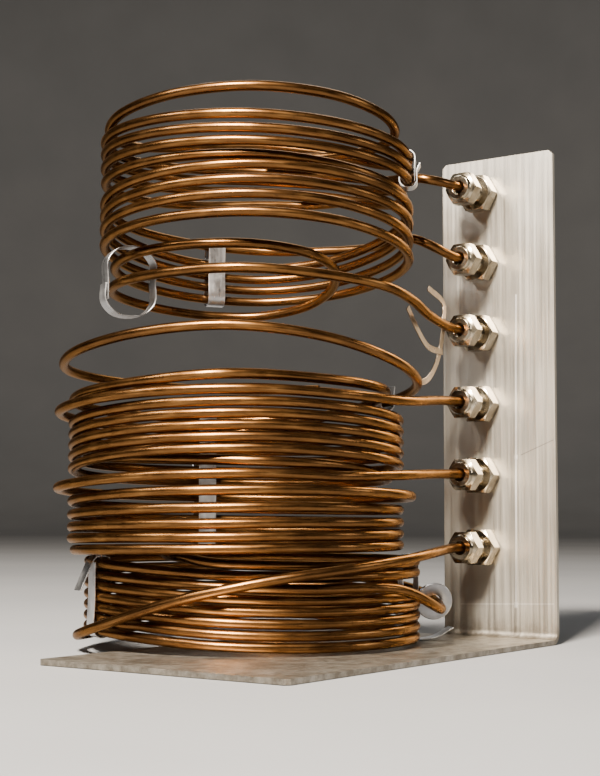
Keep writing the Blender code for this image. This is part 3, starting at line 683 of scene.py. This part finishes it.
def dress_bracket(material):
    """Folded sheet with a smooth bend and lightly broken edges, drawn as its outer surface and thickened."""
    bend_start = BASE_LENGTH - SHEET - BEND_RADIUS
    outer = BEND_RADIUS + SHEET
    cut = CORNER_CUT

    def fill(work):
        base = [(cut, 0), (bend_start, 0), (bend_start, RISER_WIDTH), (bend_start, BASE_WIDTH - cut),
                (bend_start - cut, BASE_WIDTH), (cut, BASE_WIDTH), (0, BASE_WIDTH - cut), (0, cut)]
        corners = [work.verts.new((x, y, 0)) for x, y in base]
        work.faces.new(corners)
        angles = [math.pi / 2 * step / BEND_FACETS for step in range(1, BEND_FACETS + 1)]
        rows = [(bend_start + outer * math.sin(angle), 0, outer * (1 - math.cos(angle))) for angle in angles]
        rows += [(BASE_LENGTH, 0, RISER_HEIGHT - cut), (BASE_LENGTH, cut, RISER_HEIGHT)]
        near, far = corners[1], corners[2]
        for x, inset, z in rows:
            next_near = work.verts.new((x, inset, z))
            next_far = work.verts.new((x, RISER_WIDTH - inset, z))
            work.faces.new((near, next_near, next_far, far))
            near, far = next_near, next_far
        bmesh.ops.recalc_face_normals(work, faces=work.faces)
        work.faces.ensure_lookup_table()
        if work.faces[0].normal.z > 0:
            bmesh.ops.reverse_faces(work, faces=work.faces)
    mesh = mesh_from(fill, "bracket_fine")
    mesh.transform(Matrix.Translation(-ORIGIN))
    item = add_piece("bracket_fine", mesh, material, ["bracket"])
    thicken(item, SHEET, -1)
    soften(item, SHEET_EDGE, angle=40)


# Strips

def add_strip(name, points, sides, material):
    """Flat strip with softly rounded edges along the points; each side is the half width there."""
    def fill(work):
        rows = []
        for point, side in zip(points, sides):
            rows.append([work.verts.new(point + side * across) for across in STRIP_ACROSS])
        for one, two in zip(rows, rows[1:]):
            for i in range(len(one) - 1):
                work.faces.new((one[i], one[i + 1], two[i + 1], two[i]))
    mesh = mesh_from(fill, name + "_fine", sharp=60)
    mesh.transform(Matrix.Translation(-ORIGIN))
    item = add_piece(name + "_fine", mesh, material, [name])
    thicken(item, STRIP_THICKNESS, 0)
    soften(item, STRIP_EDGE, angle=50)


def dress_tie(name, box, centre, angle, slack, bend, ending, material):
    """Strip bent round a bundle with round corners, its end lapped and left standing off."""
    inner, outer, low, high = box
    outer += slack[0]
    inner -= slack[1]
    low -= slack[2]
    start, end, up = (low, high, 1) if bend > 0 else (high, low, -1)
    bend = abs(bend)
    lap = outer + STRIP_THICKNESS + SEAT_GAP
    middle = (low + high) / 2
    path = [(outer, start + up * (bend + STRIP_THICKNESS)), (outer, middle), (outer, end - up * bend),
            (outer - bend, end), (inner + bend, end), (inner, end - up * bend), (inner, middle),
            (inner, start + up * bend), (inner + bend, start)]
    path += [(lap + out, start + up * rise) for out, rise in ending]
    turn = math.radians(angle)
    side = Vector((-math.sin(turn), math.cos(turn), 0)) * (STRIP_WIDTH / 2)
    points = smooth_curve([polar(centre, angle, radius, height) for radius, height in path], 4)
    add_strip(name, points, [side] * len(points), material)


def dress_ties(lines, material):
    """Seven strips; each row is name, coil, angle, levels it spans, reach, slack, bend and ending.

    A negative bend starts the strip at the top, so that its end hangs down.
    """
    upper = (UPPER_CENTRE, UPPER_RADIUS, UPPER_BASE)
    middle = (MIDDLE_CENTRE, MIDDLE_RADIUS, MIDDLE_BASE)
    lower = (LOWER_CENTRE, LOWER_RADIUS, LOWER_BASE)
    none = (0, 0, 0)
    turned_up = ((-STRIP_BEND, 0), (0, STRIP_BEND))
    rows = (("tie_top_right", upper, 300, (10.0, 14.6), 0.008, none, STRIP_BEND,
             turned_up + ((0, 0.0050), (0.0012, 0.0080))),
            ("tie_top_back", upper, 55, (0.6, 8.2), 0.006, none, STRIP_BEND,
             turned_up + ((0, 0.0120), (0.0020, 0.0160))),
            ("tie_top_left", upper, 150, (-1.0, 3.6), 0.012, (0.0022, 0.0050, 0.0080), 0.0042,
             ((-0.0042, 0), (0, 0.0042), (0, 0.0100))),
            ("tie_middle_right", middle, 336, (14.2, 17.6), 0.005, none, STRIP_BEND,
             turned_up + ((0, 0.0050), (0.0004, 0.0085))),
            ("tie_middle_back", middle, 51, (-0.1, 15.5), 0.008, none, STRIP_BEND,
             turned_up + ((0, 0.0260), (0.0020, 0.0300))),
            ("tie_bottom_left", lower, 152, (-0.6, 7.7), 0.003, none, -STRIP_BEND,
             turned_up + ((0.0016, 0.0050), (0.0042, 0.0110))),
            ("tie_bottom_right", lower, 316, (-0.6, 7.7), 0.005, none, STRIP_BEND,
             ((0.0010, 0), (0.0060, 0.0008), (0.0121, 0.0040))))
    for name, (centre, radius, base), angle, (low, high), reach, slack, bend, ending in rows:
        box = box_round(lines, centre, angle, base + PITCH * low, base + PITCH * high, (radius, reach))
        dress_tie(name, box, centre, angle, slack, bend, ending, material)


def dress_tag(line, material):
    """Round tag with a rolled edge, a little dished."""
    wanted = lower_turn(TAG_ANGLE - 360 * SWING_TURN)
    pairs = list(zip(line, line[1:]))
    start, end = min(pairs, key=lambda pair: ((pair[0] + pair[1]) / 2 - wanted).length)
    half = TAG_THICKNESS / 2
    # Radius, and how far from the middle plane as a share of the half thickness
    section = ((TAG_HOLE, 0.6), (TAG_HOLE + 0.0003, 1), (TAG_RADIUS - 0.0009, 0.9), (TAG_RADIUS - 0.0003, 1),
               (TAG_RADIUS, 0.4))

    def fill(work):
        rings = [round_ring(work, radius, -half * share) for radius, share in section]
        rings += [round_ring(work, radius, half * share) for radius, share in reversed(section)]
        skin(work, rings)
    mesh = mesh_from(fill, "round_tag_fine")
    turn = (end - start).to_track_quat("X", "Z").to_matrix().to_4x4()
    mesh.transform(Matrix.Translation((start + end) / 2 - ORIGIN) @ turn)
    add_piece("round_tag_fine", mesh, material, ["round_tag"])


def dress_straps(material):
    """Narrow loose straps with smooth bends."""
    for name, depth, outline in STRAPS:
        guides = [Vector((NUT_FACE_X - ahead, depth + back, fitting_height(3) + rise))
                  for ahead, rise, back in outline]
        points = smooth_curve(guides, 8)
        sides = []
        for i in range(len(points)):
            ahead = points[min(i + 1, len(points) - 1)] - points[max(i - 1, 0)]
            sides.append(Vector((ahead.z, 0, -ahead.x)).normalized() * (STRAP_WIDTH / 2))
        add_strip(name, points, sides, material)


# Materials

# Colours, from dark to pale where there are several
BRONZE = ((0.080, 0.034, 0.010), (0.165, 0.075, 0.023), (0.290, 0.148, 0.050))
BRONZE_TARNISH = (0.085, 0.040, 0.015)
BRONZE_SPOT = (0.028, 0.014, 0.008)
BRONZE_AT_EDGES = (0.78, 0.64, 0.52, 1)
MILL_FINISH = ((0.440, 0.410, 0.360), (0.540, 0.515, 0.465))
# Painted shade: this dark colour is laid over the base and fades up the foot of the bend
SHEET_STAIN = (0.390, 0.355, 0.300)
SHEET_PAINTED_SHADE = (0.150, 0.128, 0.100)
SCRIBED = (0.990, 0.980, 0.960)
SCRATCHED = (0.160, 0.145, 0.130)
STEEL = ((0.210, 0.170, 0.115), (0.350, 0.305, 0.230), (0.500, 0.455, 0.375))
TIE_METAL = ((0.480, 0.485, 0.500), (0.720, 0.730, 0.750))
STRAP_METAL = ((0.230, 0.170, 0.115), (0.430, 0.345, 0.255))
TAG_METAL = ((0.190, 0.200, 0.225), (0.340, 0.355, 0.390))
FLOOR_GREY = ((0.152, 0.157, 0.166), (0.170, 0.175, 0.184))
SKY_COLOUR = (0.86, 0.92, 1.0, 1)

# Shading: the range that noise mostly fills, a mix node's colour sockets, and how softly a mark ends
NOISE_RANGE = (0.3, 0.7)
MIX_SHARE, MIX_BELOW, MIX_ABOVE, MIX_RESULT = 0, 6, 7, 2
MARK_FADE = 0.8
FLOOR_ROUGHNESS = 0.8
SKY_STRENGTH = 0.05

# Marks on the riser: ends as Y and height in the row's frame, half width and strength
UPRIGHT_LINE = (((-0.0535, 0.1246), (-0.0524, 0.0131)), 0.00045, 1.0)
LEVEL_LINE = (((-0.0300, 0.0127), (-0.0672, 0.0140)), 0.00030, 0.35)
LOW_BURR = (((-0.0524, 0.0137), (-0.0524, 0.0127)), 0.00085, 1.0)
MIDDLE_BURR = (((-0.0530, 0.0662), (-0.0530, 0.0656)), 0.00085, 1.0)
SHEET_SCRATCH = (((-0.0550, 0.0666), (-0.0676, 0.0716)), 0.00028, 0.7)


class Paint:
    """A few short calls for building a material's nodes."""

    def __init__(self, name):
        self.material = bpy.data.materials.new(name)
        self.material.use_nodes = True
        self.nodes = self.material.node_tree.nodes
        self.links = self.material.node_tree.links
        self.shader = self.nodes["Principled BSDF"]
        self.place = self.nodes.new("ShaderNodeTexCoord")

    def put(self, kind, **values):
        node = self.nodes.new("ShaderNode" + kind)
        for name, value in values.items():
            setattr(node, name, value)
        return node

    def join(self, source, target):
        self.links.new(source, target)

    def stretched(self, scale=(1, 1, 1), coordinates="Object"):
        node = self.put("Mapping")
        node.inputs["Scale"].default_value = scale
        self.join(self.place.outputs[coordinates], node.inputs["Vector"])
        return node.outputs["Vector"]

    def noise(self, vector, scale, detail, roughness, distortion=0.0):
        node = self.put("TexNoise")
        node.inputs["Scale"].default_value = scale
        node.inputs["Detail"].default_value = detail
        node.inputs["Roughness"].default_value = roughness
        node.inputs["Distortion"].default_value = distortion
        self.join(vector, node.inputs["Vector"])
        return node.outputs["Fac"]

    def ramp(self, value, places, colours):
        """Blend from colour to colour; a plain number stands for a grey."""
        node = self.put("ValToRGB")
        while len(node.color_ramp.elements) < len(places):
            node.color_ramp.elements.new(0.5)
        for element, at, colour in zip(node.color_ramp.elements, places, colours):
            element.position = at
            if isinstance(colour, (int, float)):
                colour = (colour, colour, colour)
            element.color = (*colour, 1)
        self.join(value, node.inputs["Fac"])
        return node.outputs["Color"]

    def mix(self, share, below, colour):
        """A share of one colour over what lies below."""
        node = self.put("Mix", data_type="RGBA")
        self.join(share, node.inputs[MIX_SHARE])
        self.join(below, node.inputs[MIX_BELOW])
        node.inputs[MIX_ABOVE].default_value = (*colour, 1)
        return node.outputs[MIX_RESULT]

    def number(self, value, low, high, to_low, to_high):
        node = self.put("MapRange")
        for socket, size in zip(("From Min", "From Max", "To Min", "To Max"), (low, high, to_low, to_high)):
            node.inputs[socket].default_value = size
        self.join(value, node.inputs["Value"])
        return node.outputs["Result"]

    def combine(self, one, two, operation="ADD"):
        """Two values put together; the second may be a plain number."""
        node = self.put("Math", operation=operation)
        self.join(one, node.inputs[0])
        if isinstance(two, (int, float)):
            node.inputs[1].default_value = two
        else:
            self.join(two, node.inputs[1])
        return node.outputs[0]

    def scratch(self, ends, width, strength):
        """Soft-edged line on the riser's front face, between two places given as Y and height."""
        (y0, z0), (y1, z1) = ends
        length = math.hypot(y1 - y0, z1 - z0)
        along = Vector((0, (y1 - y0) / length, (z1 - z0) / length))
        across = Vector((0, along.z, -along.y))
        middle = Vector((BASE_LENGTH - SHEET - ORIGIN.x, (y0 + y1) / 2, (z0 + z1) / 2))
        shares = []
        for direction, reach in ((along, length / 2 + width), (across, width), (Vector((1, 0, 0)), SHEET / 2)):
            dot = self.put("VectorMath", operation="DOT_PRODUCT")
            self.join(self.place.outputs["Object"], dot.inputs[0])
            dot.inputs[1].default_value = direction
            off = self.combine(self.combine(dot.outputs["Value"], -middle.dot(direction)), 0, "ABSOLUTE")
            shares.append(self.number(off, reach - width * MARK_FADE, reach, 1, 0))
        line = self.combine(self.combine(shares[0], shares[1], "MULTIPLY"), shares[2], "MULTIPLY")
        return self.combine(line, strength, "MULTIPLY")

    def bump(self, height, distance, strength, below=None):
        node = self.put("Bump")
        node.inputs["Distance"].default_value = distance
        node.inputs["Strength"].default_value = strength
        self.join(height, node.inputs["Height"])
        if below is not None:
            self.join(below, node.inputs["Normal"])
        return node.outputs["Normal"]

    def roughness(self, broad, broad_range, fine, fine_range):
        """Roughness that follows one pattern, and a little of a finer one."""
        return self.combine(self.number(broad, *NOISE_RANGE, *broad_range),
                            self.number(fine, *NOISE_RANGE, *fine_range))

    def metal(self, colour, rough, normal):
        """Ends the material: a metal of this colour, roughness and relief."""
        for socket, value in (("Base Color", colour), ("Roughness", rough), ("Normal", normal)):
            self.join(value, self.shader.inputs[socket])
        self.shader.inputs["Metallic"].default_value = 1.0
        return self.material


def tube_metal():
    """Drawn copper tube gone bronze: golden where it shines, brown in streaks, with fine lines along it."""
    paint = Paint("tube_bronze")
    blotches = paint.noise(paint.stretched(), 38, 5, 0.6)
    streaks = paint.noise(paint.stretched((0.35, 2.2, 1), "UV"), 3.0, 6, 0.62, 0.4)
    fine = paint.noise(paint.stretched((0.12, 20.0, 1), "UV"), 4.0, 5, 0.6)
    spots = paint.noise(paint.stretched(), 900, 3, 0.5)
    dents = paint.noise(paint.stretched(), 260, 3, 0.5)
    colour = paint.ramp(streaks, (0.30, 0.50, 0.72), BRONZE)
    colour = paint.mix(paint.ramp(blotches, (0.38, 0.66), (0.0, 0.8)), colour, BRONZE_TARNISH)
    dark = paint.combine(paint.ramp(spots, (0.64, 0.74), (0.0, 1.0)), 0.45, "MULTIPLY")
    colour = paint.mix(dark, colour, BRONZE_SPOT)
    rough = paint.roughness(streaks, (0.24, 0.33), fine, (-0.02, 0.03))
    normal = paint.bump(fine, 0.00002, 0.35, paint.bump(dents, 0.00008, 0.35))
    paint.shader.inputs["Specular Tint"].default_value = BRONZE_AT_EDGES
    return paint.metal(colour, rough, normal)


def scribed_marks(paint):
    """Marking-out on the riser: an upright line, a level one, and a small burr at two places on them."""
    marks = [paint.scratch(*mark) for mark in (UPRIGHT_LINE, LEVEL_LINE, LOW_BURR, MIDDLE_BURR)]
    total = marks[0]
    for mark in marks[1:]:
        total = paint.combine(total, mark, "MAXIMUM")
    return total


def sheet_metal():
    """Mill-finish aluminium with an upright grain and faint stains, and a mottled painted shade over the base
    and the foot of the bend.
    """
    paint = Paint("brushed_sheet")
    grain = paint.noise(paint.stretched((900, 900, 14)), 1.0, 6, 0.65)
    broad = paint.noise(paint.stretched((120, 120, 5)), 1.0, 4, 0.55)
    stains = paint.noise(paint.stretched(), 24, 6, 0.6)
    mottle = paint.noise(paint.stretched(), 210, 5, 0.7)
    pits = paint.noise(paint.stretched(), 1500, 2, 0.5)
    split = paint.put("SeparateXYZ")
    paint.join(paint.place.outputs["Object"], split.inputs["Vector"])
    # Painted shade: the sheet is darkened on the base and less and less up the bend, broken up by the mottle
    # noise
    near_base = paint.number(split.outputs["Z"], SHEET, SHEET + 4 * BEND_RADIUS, 1, 0)
    painted_shade_near_base = paint.combine(near_base, paint.number(mottle, 0.38, 0.62, 0.95, 0.45), "MULTIPLY")
    colour = paint.ramp(broad, (0.25, 0.75), MILL_FINISH)
    colour = paint.mix(paint.ramp(stains, (0.45, 0.75), (0.0, 0.5)), colour, SHEET_STAIN)
    colour = paint.mix(painted_shade_near_base, colour, SHEET_PAINTED_SHADE)
    colour = paint.mix(scribed_marks(paint), colour, SCRIBED)
    colour = paint.mix(paint.scratch(*SHEET_SCRATCH), colour, SCRATCHED)
    rough = paint.roughness(grain, (0.34, 0.52), stains, (-0.05, 0.06))
    normal = paint.bump(pits, 0.00002, 0.3, paint.bump(grain, 0.00003, 0.4))
    return paint.metal(colour, rough, normal)


def turned_steel():
    """Machined fitting metal, warm grey, with turning marks and a little dirt."""
    paint = Paint("machined_fitting")
    rings = paint.noise(paint.stretched((2600, 60, 60)), 1.0, 3, 0.5)
    marks = paint.noise(paint.stretched(), 160, 5, 0.6)
    colour = paint.ramp(marks, (0.32, 0.55, 0.75), STEEL)
    rough = paint.roughness(marks, (0.15, 0.27), rings, (-0.03, 0.05))
    normal = paint.bump(marks, 0.00005, 0.25, paint.bump(rings, 0.00002, 0.3))
    return paint.metal(colour, rough, normal)


def soft_strip(name, colours):
    """Soft metal strip, handled and bent, with smears and small creases."""
    paint = Paint(name)
    smears = paint.noise(paint.stretched(), 130, 5, 0.6)
    fine = paint.noise(paint.stretched((1500, 1500, 90)), 1.0, 4, 0.6)
    colour = paint.ramp(smears, (0.30, 0.70), colours)
    rough = paint.roughness(smears, (0.24, 0.42), fine, (-0.03, 0.05))
    normal = paint.bump(fine, 0.00002, 0.3, paint.bump(smears, 0.00015, 0.4))
    return paint.metal(colour, rough, normal)


def floor_paint():
    """Plain matt grey with a faint cloudiness."""
    paint = Paint("floor_paint")
    cloud = paint.noise(paint.stretched(), 6, 4, 0.5)
    paint.join(paint.ramp(cloud, (0.3, 0.7), FLOOR_GREY), paint.shader.inputs["Base Color"])
    paint.shader.inputs["Roughness"].default_value = FLOOR_ROUGHNESS
    return paint.material


# Studio

def make_stage():
    """Round pale floor that curves up into a plain wall all round, far from the object."""
    cove = [math.radians(angle) for angle in range(10, 91, 10)]
    profile = [(FLOOR_RADIUS, 0.0)]
    profile += [(FLOOR_RADIUS + COVE_RADIUS * math.sin(a), COVE_RADIUS * (1 - math.cos(a))) for a in cove]
    profile += [(FLOOR_RADIUS + COVE_RADIUS, WALL_TOP)]
    turns = [2 * math.pi * i / STAGE_SIDES for i in range(STAGE_SIDES)]

    def fill(work):
        middle = work.verts.new((0, 0, FLOOR_LEVEL))
        rings = [[work.verts.new((radius * math.cos(turn), radius * math.sin(turn), height + FLOOR_LEVEL))
                  for turn in turns] for radius, height in profile]
        for i in range(STAGE_SIDES):
            n = (i + 1) % STAGE_SIDES
            work.faces.new((middle, rings[0][i], rings[0][n]))
            for one, two in zip(rings, rings[1:]):
                work.faces.new((one[i], two[i], two[n], one[n]))
        bmesh.ops.recalc_face_normals(work, faces=work.faces)
    mesh = mesh_from(fill, "studio_floor", sharp=180)
    mesh.materials.append(floor_paint())
    floor = stand("studio_floor", mesh)


# Lamps: name, place as around() takes it, point aimed at, size, power and colour
LAMPS = (
    ("key", (-0.88, -0.30, 0.98), (0, 0, 0.09), (0.26, 0.24), 170, (1.0, 0.89, 0.75)),
    ("left", (-0.17, -0.36, 0.46), (0.09, -0.05, 0.18), (0.10, 0.12), 1.8, (1.0, 0.96, 0.91)),
    ("side", (-0.10, 0.95, 0.40), (0, 0, 0.09), (0.07, 0.35), 1.6, (1.0, 0.95, 0.88)),
    ("back", (0.9, 0.1, 0.9), (0, 0, 0.09), (0.6, 0.3), 3, (1.0, 0.97, 0.92)))


def add_light(name, place, aim, size, power, colour):
    """Rectangular lamp at a place, aimed at a point."""
    data = bpy.data.lights.new(name, "AREA")
    data.shape = "RECTANGLE"
    data.size, data.size_y = size
    data.energy = power
    data.color = colour
    light = stand(name, data)
    light.location = place
    light.rotation_mode = "QUATERNION"
    light.rotation_quaternion = (Vector(aim) - Vector(place)).to_track_quat("-Z", "Y")


def around(forward, right, up):
    """Place given from the coils as the camera sees them: away from it, to its right, and up."""
    ahead = Vector((math.cos(CAMERA_YAW), math.sin(CAMERA_YAW), 0))
    aside = Vector((ahead.y, -ahead.x, 0))
    return ahead * forward + aside * right + Vector((0, 0, up))


def make_lights():
    """A strong warm key from the front left above, three weak lamps and a dim even sky."""
    for name, place, aim, size, power, colour in LAMPS:
        add_light(name, around(*place), aim, size, power, colour)
    world = bpy.data.worlds.new("studio")
    world.use_nodes = True
    background = world.node_tree.nodes["Background"]
    background.inputs["Color"].default_value = SKY_COLOUR
    background.inputs["Strength"].default_value = SKY_STRENGTH
    bpy.context.scene.world = world


def make_camera():
    """Camera where the photograph was taken from, as fitted to the bracket and the fittings."""
    data = bpy.data.cameras.new("camera")
    data.sensor_width = SENSOR_WIDTH
    data.lens = CAMERA_FOCUS_PX * SENSOR_WIDTH / IMAGE_HEIGHT
    data.clip_start, data.clip_end = CAMERA_CLIP
    camera = stand("camera", data)
    level = math.cos(CAMERA_PITCH)
    ahead = Vector((math.cos(CAMERA_YAW) * level, math.sin(CAMERA_YAW) * level, math.sin(CAMERA_PITCH)))
    roll = Matrix.Rotation(CAMERA_ROLL, 3, "Z").to_quaternion()
    camera.location = Vector(CAMERA_PLACE) - ORIGIN
    camera.rotation_mode = "QUATERNION"
    camera.rotation_quaternion = ahead.to_track_quat("-Z", "Y") @ roll
    bpy.context.scene.camera = camera


# The whole set

def dress():
    """Every fine piece of the object."""
    routes = {"top_column_upper_coil": upper_bundle_route(), "top_column_lower_coil": lower_bundle_route(),
              "middle_column_coil": middle_route(), "long_column_coil": long_column_route()}
    dress_bracket(sheet_metal())
    bronze = tube_metal()
    for name, route in routes.items():
        sweep_tube(name, route, bronze)
    dress_fittings(turned_steel())
    lines = [thin_out(smooth_curve(route)) for route in routes.values()]
    dress_ties(lines, soft_strip("soft_strip", TIE_METAL))
    dress_tag(lines[-1], soft_strip("tag_metal", TAG_METAL))
    dress_straps(soft_strip("worn_strip", STRAP_METAL))


make_stage()
make_lights()
make_camera()
dress()
bpy.context.view_layer.update()
